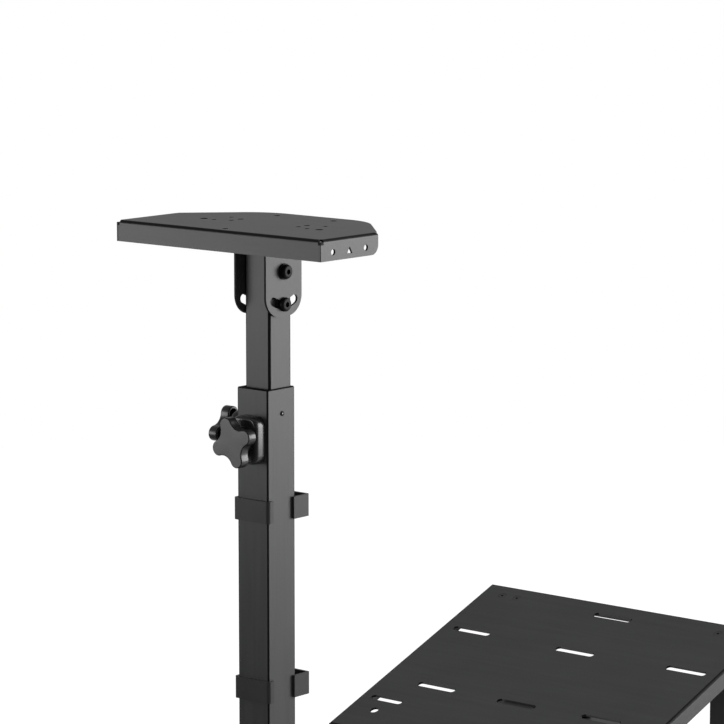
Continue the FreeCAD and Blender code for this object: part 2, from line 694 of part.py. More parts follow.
def make_main_beam():
    """The beam along the floor, drilled for every bolt that goes into it."""
    start = REAR_BAR_Y + TUBE / 2
    end = FRONT_BAR_Y - TUBE / 2
    beam = tube_between(TUBE, TUBE_WALL, point(0, start, BAR_MIDDLE), point(0, end, BAR_MIDDLE))
    tops = foot_bolt_places() + [joint_bolt_places(REAR_BAR_Y, 1)[0], joint_bolt_places(FRONT_BAR_Y, -1)[0]]
    hole = M8 + 2 * BOLT_SLACK
    cutters = [rod(hole, point(spot.x, spot.y, BAR_MIDDLE), point(spot.x, spot.y, BAR_TOP + 1)) for spot in tops]
    cross = saddle_bolt_place()
    cutters.append(rod(hole, cross - X_AXIS * TUBE, cross + X_AXIS * TUBE))
    return beam.cut(cutters)


def make_crossbar(y, inward):
    bar = tube_between(TUBE, TUBE_WALL, point(-CROSSBAR / 2, y, BAR_MIDDLE), point(CROSSBAR / 2, y, BAR_MIDDLE))
    hole = M8 + 2 * BOLT_SLACK
    cutters = [rod(hole, point(spot.x, spot.y, BAR_MIDDLE), point(spot.x, spot.y, BAR_TOP + 1))
               for spot in joint_bolt_places(y, inward)[1:]]
    return bar.cut(cutters)


def make_bar_caps(y):
    cap = cap_solid(TUBE, TUBE_WALL, TUBE_CORNER, END_CAP)
    right = moved(cap, point(CROSSBAR / 2, y, BAR_MIDDLE), Y_AXIS, 90)
    left = moved(cap, point(-CROSSBAR / 2, y, BAR_MIDDLE), Y_AXIS, -90)
    return [left, right]


def make_feet(y):
    """Two rubber feet under a crossbar, narrower at the floor."""
    reach = CROSSBAR / 2 - FOOT_INSET
    narrow = FOOT_WIDE / 2 - 2.0
    return [Part.makeCone(narrow, FOOT_WIDE / 2, FOOT_HIGH, point(side * reach, y, 0)) for side in (-1, 1)]


def joint_bolt_places(y, inward):
    """Bolts of a joint plate: one into the main beam, two into the crossbar."""
    tongue = y + inward * (TUBE / 2 + JOINT_PLATE_TONGUE / 2)
    half = JOINT_BOLT_SPREAD / 2
    return [point(0, tongue, BAR_TOP), point(-half, y, BAR_TOP), point(half, y, BAR_TOP)]


def make_joint_plate(y, inward):
    """The T-shaped plate that ties a crossbar to the main beam."""
    half = JOINT_PLATE_WIDE / 2
    edge = TUBE / 2 - TUBE_CORNER
    far = y - inward * edge
    near = y + inward * edge
    tip = y + inward * (TUBE / 2 + JOINT_PLATE_TONGUE)
    corners = [point(-half, far), point(half, far), point(half, near), point(edge, tip),
               point(-edge, tip), point(-half, near), point(-half, far)]
    plate = Part.Face(Part.makePolygon(corners)).extrude(Z_AXIS * JOINT_PLATE_THICK)
    plate = moved(plate, point(0, 0, BAR_TOP))
    holes = [rod(M8 + 2 * BOLT_SLACK, spot - Z_AXIS, spot + Z_AXIS * (JOINT_PLATE_THICK + 1))
             for spot in joint_bolt_places(y, inward)]
    return plate.cut(holes)


def make_joint_bolts(y, inward):
    rise = Z_AXIS * JOINT_PLATE_THICK
    return [m8_bolt(spot + rise, -Z_AXIS, FOOT_BOLT_LONG) for spot in joint_bolt_places(y, inward)]


def on_plate(shape):
    """Takes a piece from the plate's own frame: X across, -Y down the slope, Z off its face."""
    return moved(shape, point(0, PLATE_EDGE_Y, PLATE_EDGE_Z), X_AXIS, PLATE_SLOPE)


def plate_point(x, down, off=0.0):
    """A place on the pedal plate: across, down from its far edge and off its top face."""
    y = PLATE_EDGE_Y - down * math.cos(SLOPE) - off * math.sin(SLOPE)
    z = PLATE_EDGE_Z - down * math.sin(SLOPE) + off * math.cos(SLOPE)
    return point(x, y, z)


def make_pedal_plate():
    """The sloping tray that the pedals are bolted to, folded down on four sides."""
    half = PLATE_WIDE / 2
    tray = block(-half, half, -PLATE_LONG, 0, -PLATE_FLANGE, 0)
    top_edges = [edge for edge in tray.Edges if edge.BoundBox.ZMin > -0.01]
    tray = tray.makeFillet(PLATE_BEND, top_edges)
    inner = half - PLATE_SHEET
    hollow = block(-inner, inner, -PLATE_LONG + PLATE_SHEET, -PLATE_SHEET, -PLATE_FLANGE - 1, -PLATE_SHEET)
    depth = PLATE_SHEET + 1
    cutters = [hollow]
    cutters += [moved(slot_cutter(length, PEDAL_SLOT, depth), point(x, -down, 0)) for x, down, length in PLATE_SLOTS]
    cutters += [rod(PLATE_HOLE, point(x, -down, -depth), point(x, -down, depth)) for x, down in PLATE_HOLES]
    for x in tab_screw_xs():
        spot = point(x, -TAB_SCREW_DOWN, 0)
        cutters.append(rod(M5 + 2 * BOLT_SLACK, spot - Z_AXIS * depth, spot))
        cutters.append(countersink(spot, M5_SINK + 2 * RUNNING_FIT))
    return on_plate(tray.cut(cutters))


def tab_screw_xs():
    half = TAB_SCREW_SPREAD / 2
    return [side * (UPRIGHT_X + shift) for side in (-1, 1) for shift in (-half, half)]


def countersink(spot, play):
    """The right-angled cone of an M5 countersunk head whose rim is at the given spot."""
    wide = M5_HEAD / 2 + play
    narrow = M5 / 2 + play
    return Part.makeCone(narrow, wide, wide - narrow, spot - Z_AXIS * (wide - narrow), Z_AXIS)


def make_plate_screws():
    """Four countersunk screws through the plate into the tabs of the uprights."""
    screws = []
    for x in tab_screw_xs():
        face = point(x, -TAB_SCREW_DOWN, -M5_SINK)
        tip = point(x, -TAB_SCREW_DOWN, -PLATE_SHEET - TAB_THICK - 1)
        key = hexagon_bar(M5_SOCKET, face - Z_AXIS * M5_SOCKET_DEEP, face + Z_AXIS)
        screw = countersink(face, 0).fuse(rod(M5, tip, face - Z_AXIS * M5_SOCKET_DEEP / 2)).removeSplitter()
        screws.append(on_plate(screw.cut(key)))
    return screws


def below_plate(off):
    """A large block of all that lies under a face parallel to the pedal plate."""
    reach = 2 * PLATE_LONG
    return on_plate(block(-reach, reach, -reach, reach, -2 * reach, off))


def make_upright(side):
    """A post on the front crossbar with the sloping tab that the plate is screwed to."""
    x = side * UPRIGHT_X
    tall = tube_between(UPRIGHT, UPRIGHT_WALL, point(x, UPRIGHT_Y, BAR_TOP), point(x, UPRIGHT_Y, PLATE_EDGE_Z))
    post = tall.common(below_plate(-PLATE_SHEET - TAB_THICK / 2))
    half = TAB_WIDE / 2
    tab = block(x - half, x + half, -TAB_START - TAB_LONG, -TAB_START, -PLATE_SHEET - TAB_THICK, -PLATE_SHEET)
    holes = [rod(M5, point(screw, -TAB_SCREW_DOWN, -PLATE_SHEET - TAB_THICK - 1),
                 point(screw, -TAB_SCREW_DOWN, 0)) for screw in tab_screw_xs()]
    inside = rounded_rectangle(UPRIGHT - 2 * UPRIGHT_WALL, UPRIGHT - 2 * UPRIGHT_WALL, 1.0)
    bore = moved(inside.extrude(Z_AXIS * PLATE_EDGE_Z), point(x, UPRIGHT_Y, BAR_TOP))
    bore = bore.common(below_plate(-PLATE_SHEET - TAB_THICK))
    return post.fuse(on_plate(tab)).cut(bore).cut([on_plate(hole) for hole in holes])


def saddle_bolt_place():
    middle = plate_point(0, SADDLE_DOWN + SADDLE_LONG / 2)
    return point(0, middle.y, BAR_MIDDLE)


def make_saddle():
    """The bracket that straddles the main beam and holds the plate's lower half."""
    inside = TUBE / 2
    outside = inside + SADDLE_SHEET
    bottom = BAR_TOP - SADDLE_LAP
    lower = plate_point(0, SADDLE_DOWN + SADDLE_LONG, -PLATE_SHEET)
    upper = plate_point(0, SADDLE_DOWN, -PLATE_SHEET)
    outline = [(lower.y, bottom), (upper.y, bottom), (upper.y, upper.z), (lower.y, lower.z)]
    body = prism_along_x(outline, -outside, outside)
    fold_edges = [edge for edge in body.Edges
                  if edge.BoundBox.ZMin > lower.z - 1 and edge.BoundBox.XLength < 1 and edge.BoundBox.YLength > 1]
    body = body.makeFillet(SADDLE_BEND, fold_edges)
    over = SADDLE_LONG / 4
    inner_lower = plate_point(0, SADDLE_DOWN + SADDLE_LONG + over, -PLATE_SHEET - SADDLE_SHEET)
    inner_upper = plate_point(0, SADDLE_DOWN - over, -PLATE_SHEET - SADDLE_SHEET)
    hollow = prism_along_x([(inner_lower.y, bottom - 1), (inner_upper.y, bottom - 1),
                            (inner_upper.y, inner_upper.z), (inner_lower.y, inner_lower.z)], -inside, inside)
    cross = saddle_bolt_place()
    hole = rod(M8 + 2 * BOLT_SLACK, cross - X_AXIS * TUBE, cross + X_AXIS * TUBE)
    return body.cut([hollow, hole])


def make_saddle_bolt():
    reach = TUBE / 2 + SADDLE_SHEET
    length = 2 * reach + M8_NUT_HIGH + BOLT_END
    return m8_bolt(saddle_bolt_place() + X_AXIS * reach, -X_AXIS, length)


def make_saddle_nut():
    reach = TUBE / 2 + SADDLE_SHEET
    return m8_nut(saddle_bolt_place() - X_AXIS * reach, -X_AXIS)


def save(name, shapes):
    """Writes one piece, or several like pieces, as parts/NAME.step."""
    solids = shapes if isinstance(shapes, list) else [shapes]
    whole = solids[0] if len(solids) == 1 else Part.makeCompound(solids)
    placed = moved(whole, point(0, COLUMN_Y, 0))
    placed.exportStep("parts/" + name + ".step")


def main():
    os.makedirs("parts", exist_ok=True)
    save("wheel_deck", make_wheel_deck())
    save("tilt_bracket", make_tilt_bracket())
    save("pivot_bolt", make_pivot_bolt())
    save("pivot_nut", make_pivot_nut())
    save("pivot_washers", make_pivot_washers())
    save("pivot_spacers", make_pivot_spacers())
    save("lock_bolt", make_lock_bolt())
    save("lock_nut", make_lock_nut())
    save("lock_spacer", make_lock_spacer())
    save("inner_tube", make_mast())
    save("inner_tube_cap", make_mast_cap())
    save("outer_tube", make_column())
    save("tube_rivet", make_rivet())
    save("front_knob_collar", to_front(collar_solid()))
    save("left_knob_collar", to_left(collar_solid()))
    save("front_knob", make_front_knob())
    save("left_knob", make_left_knob())
    save("upper_cable_clip", make_cable_clip(CLIP_DROPS[0]))
    save("lower_cable_clip", make_cable_clip(CLIP_DROPS[1]))
    save("column_foot_plate", make_foot_plate())
    save("column_foot_bolts", make_foot_bolts())
    save("column_gussets", make_gussets())
    save("main_beam", make_main_beam())
    save("rear_crossbar", make_crossbar(REAR_BAR_Y, 1))
    save("front_crossbar", make_crossbar(FRONT_BAR_Y, -1))
    save("rear_bar_caps", make_bar_caps(REAR_BAR_Y))
    save("front_bar_caps", make_bar_caps(FRONT_BAR_Y))
    save("rear_feet", make_feet(REAR_BAR_Y))
    save("front_feet", make_feet(FRONT_BAR_Y))
    save("rear_joint_plate", make_joint_plate(REAR_BAR_Y, 1))
    save("front_joint_plate", make_joint_plate(FRONT_BAR_Y, -1))
    save("rear_joint_bolts", make_joint_bolts(REAR_BAR_Y, 1))
    save("front_joint_bolts", make_joint_bolts(FRONT_BAR_Y, -1))
    save("left_upright", make_upright(-1))
    save("right_upright", make_upright(1))
    save("pedal_plate", make_pedal_plate())
    save("plate_screws", make_plate_screws())
    save("plate_saddle", make_saddle())
    save("saddle_bolt", make_saddle_bolt())
    save("saddle_nut", make_saddle_nut())


main()
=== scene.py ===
import json
import math

import bpy
from mathutils import Matrix, Vector


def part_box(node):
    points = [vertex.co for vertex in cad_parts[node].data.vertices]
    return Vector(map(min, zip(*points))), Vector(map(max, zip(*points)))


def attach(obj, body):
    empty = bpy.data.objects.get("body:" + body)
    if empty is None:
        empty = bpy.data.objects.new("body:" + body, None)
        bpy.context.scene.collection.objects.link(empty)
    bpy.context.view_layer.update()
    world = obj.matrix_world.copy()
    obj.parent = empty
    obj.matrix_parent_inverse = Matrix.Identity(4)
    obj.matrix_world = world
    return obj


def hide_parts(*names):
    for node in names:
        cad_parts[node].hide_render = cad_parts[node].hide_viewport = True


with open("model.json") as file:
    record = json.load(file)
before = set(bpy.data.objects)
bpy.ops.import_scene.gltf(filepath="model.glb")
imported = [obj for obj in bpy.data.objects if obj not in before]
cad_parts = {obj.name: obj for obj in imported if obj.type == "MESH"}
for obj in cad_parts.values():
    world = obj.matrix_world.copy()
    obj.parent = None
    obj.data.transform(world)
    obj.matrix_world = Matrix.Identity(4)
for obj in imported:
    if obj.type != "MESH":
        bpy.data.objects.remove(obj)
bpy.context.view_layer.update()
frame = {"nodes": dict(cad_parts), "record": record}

MM = 0.001

# Places read from the frame, in metres
TUBE_LOW, TUBE_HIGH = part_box("outer_tube")
COLUMN_X = (TUBE_LOW.x + TUBE_HIGH.x) / 2
COLUMN_Y = (TUBE_LOW.y + TUBE_HIGH.y) / 2
TUBE_TOP = TUBE_HIGH.z
DECK_LOW, DECK_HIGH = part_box("wheel_deck")

# The camera's place from the column's axis at the tube's mouth, and its view
CAMERA_FROM_COLUMN = Vector((2.33715, -2.60406, 0.55636))
CAMERA_AZIMUTH = 40.37
CAMERA_DOWN = 8.64
CAMERA_LENS = 180.19
CAMERA_SENSOR = 36.0
CAMERA_SIGHT = 50.0

# CAD nodes that wear another finish than their slot's
VARIANTS = {
    "outer_tube": "column",
    "inner_tube": "folded",
    "main_beam": "folded",
    "rear_crossbar": "folded",
    "front_crossbar": "folded",
    "left_upright": "folded",
    "right_upright": "folded",
    "wheel_deck": "deck",
    "tilt_bracket": "ears",
    "pedal_plate": "pedal_plate",
    "plate_screws": "lit_painted_screw",
}

# The steel's powder coat: its colour and gloss, and the stretch of its streaks along Z or X
STEEL_SHADE = 0.022
# The pedal plate and its screws are painted lighter than the other steel: painted light on the same coat
LIT_PLATE_SHADE = 1.25 * STEEL_SHADE
LIT_SCREW_SHADE = 1.1 * STEEL_SHADE
STEEL_SPREAD = 0.25       # how far the shade wanders, as a share of it
STEEL_TINT = (0.985, 1.0, 1.03)
STEEL_ROUGHNESS = 0.42
STEEL_SPECULAR = 0.35
ALONG_Z = (1.0, 1.0, 0.03)
ALONG_X = (0.03, 1.0, 1.0)

# Painted shade darkens the steel as a part of its normal falls from the first level to the second: the
# largest part on a bend, and the X part on the cut rim of a plate
TUBE_BEND_SHADE = (0.9995, 0.985)
DECK_BEND_SHADE = (0.996, 0.91)
CUT_RIM_SHADE = (0.95, 0.60)

# A face looks along an axis where its normal's part is over the first level, and a hole's wall doesn't
# look along the axis of its hole where that part is under the second
FACING = 0.9
WALL = 0.5

# The pedal plate's slope, and the deck's places of painted shade
PLATE_SLOPE = math.radians(20.65)
DECK_RIM = 2.53 * MM      # a little more than the deck's sheet, so that it holds the walls of holes
DECK_CLEAR = 4.0 * MM     # how far the deck's bends reach from its corners
RELIEF_WIDE = 3.8 * MM    # the small open corner where a front and a side bend end
RELIEF_LONG = 4.0 * MM
RELIEF_DEEP = 5.2 * MM
SEAM_WIDE = 1.0 * MM

# Shade is painted on a knob's rounded edges, by a share, between its sides and its face: the levels of its
# normal's part along its axis at which it starts and is full on each side, and over which the face is matt
KNOB_OFF_SIDE = (0.10, 0.35)
KNOB_OFF_FACE = (0.995, 0.95)
KNOB_FACE = 0.97
KNOB_EDGE_SHADE = 0.85

# Moulded plastics: shade, roughness, strength of the grain and specular level
PLASTICS = {
    "black_nylon": (0.010, 0.50, 0.12, 0.35),
    # bush_nylon is darker and duller than the other nylon: painted shade for the dark line in the column's
    # mouth
    "bush_nylon": (0.002, 0.60, 0.12, 0.05),
    "cap_plastic": (0.014, 0.45, 0.20, 0.4),
    "clip_plastic": (0.018, 0.42, 0.12, 0.28),
    "knob_plastic": (0.012, 0.26, 0.04, 0.5),
}

# Star knobs and the collars behind them
STAR_LOBES = 4
STAR_PITCH = 17.9 * MM    # from the axis to the middle of a lobe
STAR_LOBE = 7.5 * MM      # radius of a lobe
STAR_VALLEY = 12.0 * MM   # radius of the hollow between two lobes
STAR_THICK = 11.0 * MM
STAR_EDGE = 0.9 * MM
STAR_WALL = 2.0 * MM
STAR_HOLLOW = 7.4 * MM    # how deep the star is hollow from the back
STAR_CROWN = 0.5 * MM
FRONT_STAR_TURN = math.radians(22)
LEFT_STAR_TURN = 0.0
HUB_RADIUS = 12.0 * MM
HUB_EDGE = 0.8 * MM
HUB_SUNK = 1.0 * MM       # how far the hub runs into the star
SCREW_RADIUS = 4.0 * MM
BORE_PLAY = 0.05 * MM
SEAT_GAP = 0.3 * MM
COLLAR_CORNER = 9.5 * MM
COLLAR_EDGE = 3.4 * MM
COLLAR_BACK_EDGE = 0.4 * MM
FACE_RING = 0.4 * MM      # a narrow ring round a face, which keeps it flat beside a rounded edge

# Button-headed M8 bolts and their nuts
BOLT_RADIUS = 4.0 * MM
THREAD_PITCH = 1.25 * MM
THREAD_DEEP = 0.45 * MM
THREAD_SIDES = 24
THREAD_SUNK = 0.2 * MM    # how far a thread runs into its head
HEAD_RADIUS = 7.0 * MM
HEAD_HIGH = 4.4 * MM
HEAD_ROUND = 2.5 * MM
HEAD_SEAT_EDGE = 0.3 * MM
SOCKET_FLATS = 5.0 * MM
SOCKET_DEEP = 2.6 * MM
NUT_FLATS = 13.0 * MM
NUT_EDGE = 1.1 * MM
NUT_BLANK = 0.05 * MM     # how far the turned blank passes the nut's corners
NUT_PLAY = 0.02 * MM
CUT_PAST = 1.0 * MM       # how far a cutter passes a face

# The bush in the column's mouth
LIP_HIGH = 1.0 * MM
LIP_INSET = 0.3 * MM
LIP_CORNER = 1.5 * MM
LIP_EDGE = 0.4 * MM
BUSH_PLAY = 0.3 * MM
BUSH_CORNER = 2.0 * MM

# The rivet, in shares of its rim's thickness
RIVET_ROUND = 0.8
RIVET_RECESS = 0.6
RIVET_FLOOR = 0.3
PIN_HIGH = 0.9
PIN_ROUND = 0.2

# The rivet, in shares of its rim's radius
RIVET_RING = 0.25
RIVET_SHANK = 0.5
PIN_WIDE = 0.36

# Weld beads
BEAD_RADIUS = 2.0 * MM
BEAD_RIPPLE = 1.7 * MM
BEAD_DEEP = 0.22 * MM
BEAD_END = 0.6 * BEAD_RADIUS
BEAD_INSET = 2.5 * MM     # how far a bead ends from a corner
BEAD_SMOOTH = 60
COLUMN_REACH = 30 * MM    # two gussets lie farther apart than this

# The room's grey in reflections, from straight down (0) past the horizon (0.5) to straight up (1), its
# dark side behind the camera, and the level of its soft light
ROOM_BY_HEIGHT = ((0.0, 0.15), (0.47, 0.30), (0.50, 0.60), (0.60, 0.54), (0.75, 0.32), (1.0, 0.20))
DARK_AZIMUTH = 15.0
DARK_EDGES = (0.40, 0.90)
DARK_LEVEL = 0.15
ROOM_SOFT = 0.50

# The floor: its paint, its white to the camera, and how it brightens towards the back in reflections
FLOOR_RADIUS = 2.4
FLOOR_DROP = 0.5 * MM
FLOOR_PAINT = (0.79, 0.81)
FLOOR_WHITE = 1.1
FLOOR_SEEN = 0.86
FLOOR_MIRRORED = 0.95
FLOOR_NEAR_LEVEL = 0.10
FLOOR_FAR_LEVEL = 1.0
FLOOR_NEAR_Y = -0.4
FLOOR_FAR_Y = 0.2

# The lamps: name, place, what each aims at, width, height and watts
LAMPS = (
    ("top_box", (0.0, 0.0, 3.0), (0.0, -0.1, 0.5), 2.2, 2.2, 26.0),
    ("right_box", (1.9, 1.9, 0.8), (0.0, -0.2, 0.45), 2.0, 2.0, 104.0),
    ("left_box", (-0.80, -1.10, 0.53), (0.0, -0.25, 0.53), 0.9, 0.45, 6.1),
)


class Maths:
    """A number in a node tree; arithmetic on it adds Math nodes."""

    def __init__(self, tree, socket):
        self.tree = tree
        self.socket = socket

    def _math(self, operation, first, second=None):
        inputs = {0: first} if second is None else {0: first, 1: second}
        return self.tree.node("ShaderNodeMath", {"operation": operation}, inputs).out(0)

    def __add__(self, other):
        return self._math("ADD", self, other)

    def __radd__(self, other):
        return self._math("ADD", other, self)

    def __sub__(self, other):
        return self._math("SUBTRACT", self, other)

    def __rsub__(self, other):
        return self._math("SUBTRACT", other, self)

    def __mul__(self, other):
        return self._math("MULTIPLY", self, other)

    def __rmul__(self, other):
        return self._math("MULTIPLY", other, self)

    def absolute(self):
        return self._math("ABSOLUTE", self)

    def larger(self, other):
        return self._math("MAXIMUM", self, other)

    def over(self, limit):
        return self._math("GREATER_THAN", self, limit)


class Made:
    """A node that has been added, with its outputs by name or number."""

    def __init__(self, tree, node):
        self.tree = tree
        self.node = node

    def out(self, key):
        return Maths(self.tree, self.node.outputs[key])


class Tree:
    """A material's or the world's node tree."""

    def __init__(self, owner):
        owner.use_nodes = True
        self.nodes = owner.node_tree.nodes
        self.links = owner.node_tree.links
        self.nodes.clear()

    def node(self, kind, settings=None, inputs=None):
        """Adds a node: its settings first, a ramp's stops among them, then values and links."""
        node = self.nodes.new(kind)
        for name, value in (settings or {}).items():
            if name == "stops":
                set_stops(node.color_ramp, value)
            else:
                setattr(node, name, value)
        for key, value in (inputs or {}).items():
            if isinstance(value, Maths):
                self.links.new(value.socket, node.inputs[key])
            else:
                node.inputs[key].default_value = value
        return Made(self, node)


def set_stops(ramp, stops):
    """Gives a colour ramp its stops: pairs of place and colour."""
    while len(ramp.elements) > 1:
        ramp.elements.remove(ramp.elements[-1])
    for index, (place, colour) in enumerate(stops):
        stop = ramp.elements[0] if index == 0 else ramp.elements.new(place)
        stop.position = place
        stop.color = colour


def grey(level):
    return (level, level, level, 1.0)


def tinted(level):
    """The steel's faintly cool grey."""
    return (*(level * share for share in STEEL_TINT), 1.0)


def noise(tree, scale, detail=2.0, stretch=None):
    """Noise on the object's own coordinates, drawn out along the axis where stretch is small."""
    place = tree.node("ShaderNodeTexCoord").out("Object")
    if stretch is not None:
        place = tree.node("ShaderNodeMapping", {}, {"Vector": place, "Scale": stretch}).out("Vector")
    return tree.node("ShaderNodeTexNoise", {}, {"Vector": place, "Scale": scale, "Detail": detail}).out("Fac")


def parts(tree, vector):
    """The three numbers of a direction or a place."""
    split = tree.node("ShaderNodeSeparateXYZ", {}, {0: vector})
    return [split.out(axis) for axis in range(3)]


def normal_parts(tree):
    """How far a surface looks along X, Y and Z, whichever way."""
    return [part.absolute() for part in parts(tree, tree.node("ShaderNodeTexCoord").out("Normal"))]


def smooth_step(tree, value, start, end, low=0.0, high=1.0):
    """Goes smoothly from low to high as a value goes from start to end."""
    inputs = {"Value": value, "From Min": start, "From Max": end, "To Min": low, "To Max": high}
    return tree.node("ShaderNodeMapRange", {"interpolation_type": "SMOOTHSTEP"}, inputs).out("Result")


def mix_colour(tree, factor, first, second):
    return tree.node("ShaderNodeMix", {"data_type": "RGBA"}, {0: factor, 6: first, 7: second}).out(2)


def mix_shader(tree, factor, first, second):
    return tree.node("ShaderNodeMixShader", {}, {0: factor, 1: first, 2: second}).out("Shader")


def bump(tree, height, strength, distance):
    inputs = {"Height": height, "Strength": strength, "Distance": distance}
    return tree.node("ShaderNodeBump", {}, inputs).out("Normal")


def surface(tree, sockets):
    return tree.node("ShaderNodeBsdfPrincipled", {}, sockets).out("BSDF")


def emission(tree, colour, strength=1.0):
    return tree.node("ShaderNodeEmission", {}, {"Color": colour, "Strength": strength}).out("Emission")


def new_material(name):
    material = bpy.data.materials.new(name)
    return material, Tree(material)


def finish_material(tree, shader):
    tree.node("ShaderNodeOutputMaterial", {}, {"Surface": shader})


def fold_shade_mask(tree, slope=0.0, bend_shade=TUBE_BEND_SHADE):
    """Where shade is painted on folded steel: 1 on the bends, whose normals lie between the sheet's
    directions, and 0 on flats.
    """
    normal = tree.node("ShaderNodeTexCoord").out("Normal")
    turn = {"Vector": normal, "Angle": -slope}
    level = tree.node("ShaderNodeVectorRotate", {"rotation_type": "X_AXIS"}, turn).out("Vector")
    x, y, z = [part.absolute() for part in parts(tree, level)]
    return smooth_step(tree, x.larger(y).larger(z), *bend_shade)


def plate_fold_shade_mask(tree):
    """Where shade is painted on the bends of the sloping pedal plate."""
    return fold_shade_mask(tree, PLATE_SLOPE)


def mouth_shade_mask(tree):
    """Where shade is painted on an upright tube: its bends, and its cut ends."""
    upward = normal_parts(tree)[2]
    return fold_shade_mask(tree).larger(upward.over(FACING))


def rim_shade_mask(tree):
    """Where shade is painted on plates that stand across X: 1 on their cut rims, and 0 on their faces."""
    return smooth_step(tree, normal_parts(tree)[0], *CUT_RIM_SHADE)


def deck_shade_mask(tree):
    """Where shade is painted on the deck: its bends, its holes' walls, the open corners where its bends end,
    and their seams.
    """
    normal_x, normal_y, normal_z = normal_parts(tree)
    x, y, z = parts(tree, tree.node("ShaderNodeTexCoord").out("Object"))
    across = x.absolute()
    behind_bend = y.over(DECK_LOW.y + DECK_CLEAR)
    inside_bends = 1 - across.over(DECK_HIGH.x - DECK_CLEAR)
    below_bend = 1 - z.over(DECK_HIGH.z - DECK_CLEAR)
    in_top = z.over(DECK_HIGH.z - DECK_RIM)
    in_side = across.over(DECK_HIGH.x - DECK_RIM)
    top_walls = in_top * (1 - normal_z.over(WALL)) * behind_bend * inside_bends
    side_walls = in_side * (1 - normal_x.over(WALL)) * behind_bend * below_bend
    in_corner = across.over(DECK_HIGH.x - RELIEF_WIDE) * (1 - y.over(DECK_LOW.y + RELIEF_LONG))
    relief = in_corner * z.over(DECK_HIGH.z - RELIEF_DEEP)
    seam = normal_y.over(FACING) * across.over(DECK_HIGH.x - SEAM_WIDE)
    walls = top_walls.larger(side_walls)
    return fold_shade_mask(tree, bend_shade=DECK_BEND_SHADE).larger(walls).larger(relief).larger(seam)


def powder_coat(name, shade=STEEL_SHADE, shade_mask=None, stretch=ALONG_Z):
    """Satin black powder coat: fine orange peel, faint mottling and streaks, and painted shade where a shade
    mask is given.
    """
    material, tree = new_material(name)
    mottle = noise(tree, scale=11.0, detail=3.0)
    grain = noise(tree, scale=1500.0)
    peel = noise(tree, scale=520.0)
    drawn = noise(tree, scale=260.0, detail=3.0, stretch=stretch)
    tone = 0.5 + 2.0 * (0.4 * mottle + 0.6 * drawn - 0.5)
    darkest = tinted(shade * (1 - STEEL_SPREAD))
    lightest = tinted(shade * (1 + STEEL_SPREAD))
    relief = bump(tree, peel + 0.4 * grain + 4.0 * drawn, strength=0.10, distance=0.2 * MM)
    coat = surface(tree, {
        "Base Color": mix_colour(tree, tone, darkest, lightest),
        "Roughness": STEEL_ROUGHNESS + 0.06 * (tone - 0.5) + 0.05 * (grain - 0.5),
        "Normal": relief,
        "Specular IOR Level": STEEL_SPECULAR,
    })
    if shade_mask is None:
        finish_material(tree, coat)
        return material
    # Painted shade: a near-black, dull coat that the shade mask lays on bends, cut rims, the tube's mouth and
    # the deck's dark places
    bend_shade = surface(tree, {
        "Base Color": mix_colour(tree, grain, grey(0.002), grey(0.004)),
        "Roughness": 0.60 + 0.10 * (grain - 0.5),
        "Normal": relief,
        "Specular IOR Level": 0.12,
    })
    finish_material(tree, mix_shader(tree, shade_mask(tree), coat, bend_shade))
    return material


def black_oxide():
    """Blackened steel of bolts, nuts and washers, lighter where it has rubbed."""
    material, tree = new_material("black_oxide_steel")
    wear = noise(tree, scale=260.0, detail=3.0)
    finish_material(tree, surface(tree, {
        "Base Color": mix_colour(tree, wear, grey(0.003), (0.010, 0.010, 0.011, 1.0)),
        "Roughness": 0.28 + 0.16 * wear,
        "Specular IOR Level": 0.07,
        "Normal": bump(tree, noise(tree, scale=1400.0), strength=0.12, distance=0.1 * MM),
    }))
    return material


def worn_steel():
    """Bare steel where a rivet's pin has broken off, dulled and spotted."""
    material, tree = new_material("worn_steel")
    spots = noise(tree, scale=900.0, detail=3.0)
    finish_material(tree, surface(tree, {
        "Base Color": mix_colour(tree, spots, grey(0.12), grey(0.30)),
        "Metallic": 0.7,
        "Roughness": 0.36 + 0.2 * spots,
        "Normal": bump(tree, spots, strength=0.2, distance=0.1 * MM),
    }))
    return material


def moulded_plastic(name, shade, roughness, grain_strength, specular):
    """Black moulded plastic with a fine spark-eroded grain."""
    material, tree = new_material(name)
    grain = noise(tree, scale=1600.0)
    cloud = noise(tree, scale=35.0)
    finish_material(tree, surface(tree, {
        "Base Color": mix_colour(tree, cloud, grey(shade * 0.8), grey(shade * 1.2)),
        "Roughness": roughness + 0.06 * (cloud - 0.5) + 0.04 * (grain - 0.5),
        "Specular IOR Level": specular,
        "Normal": bump(tree, grain, grain_strength, distance=0.1 * MM),
    }))
    return material


def gloss_plastic(name, axis):
    """The knobs' black plastic: polished lobes, a matt face across the given axis, and painted shade on the
    rounded edges.
    """
    material, tree = new_material(name)
    cloud = noise(tree, scale=60.0)
    along = normal_parts(tree)[axis]
    edge_shade_mask = smooth_step(tree, along, *KNOB_OFF_SIDE) * smooth_step(tree, along, *KNOB_OFF_FACE)
    face = along.over(KNOB_FACE)
    polished = mix_colour(tree, cloud, grey(0.010), grey(0.014))
    matt = mix_colour(tree, cloud, grey(0.030), grey(0.042))
    gloss = surface(tree, {
        "Base Color": mix_colour(tree, face, polished, matt),
        "Roughness": 0.33 + 0.09 * face + 0.05 * (cloud - 0.5),
        "Normal": bump(tree, noise(tree, scale=900.0), strength=0.05, distance=0.1 * MM),
    })
    # Painted shade: a near-black, dull surface laid on the knob's rounded edges
    edge = surface(tree, {
        "Base Color": mix_colour(tree, cloud, grey(0.003), grey(0.005)),
        "Roughness": 0.5,
        "Specular IOR Level": 0.15,
    })
    finish_material(tree, mix_shader(tree, KNOB_EDGE_SHADE * edge_shade_mask, gloss, edge))
    return material


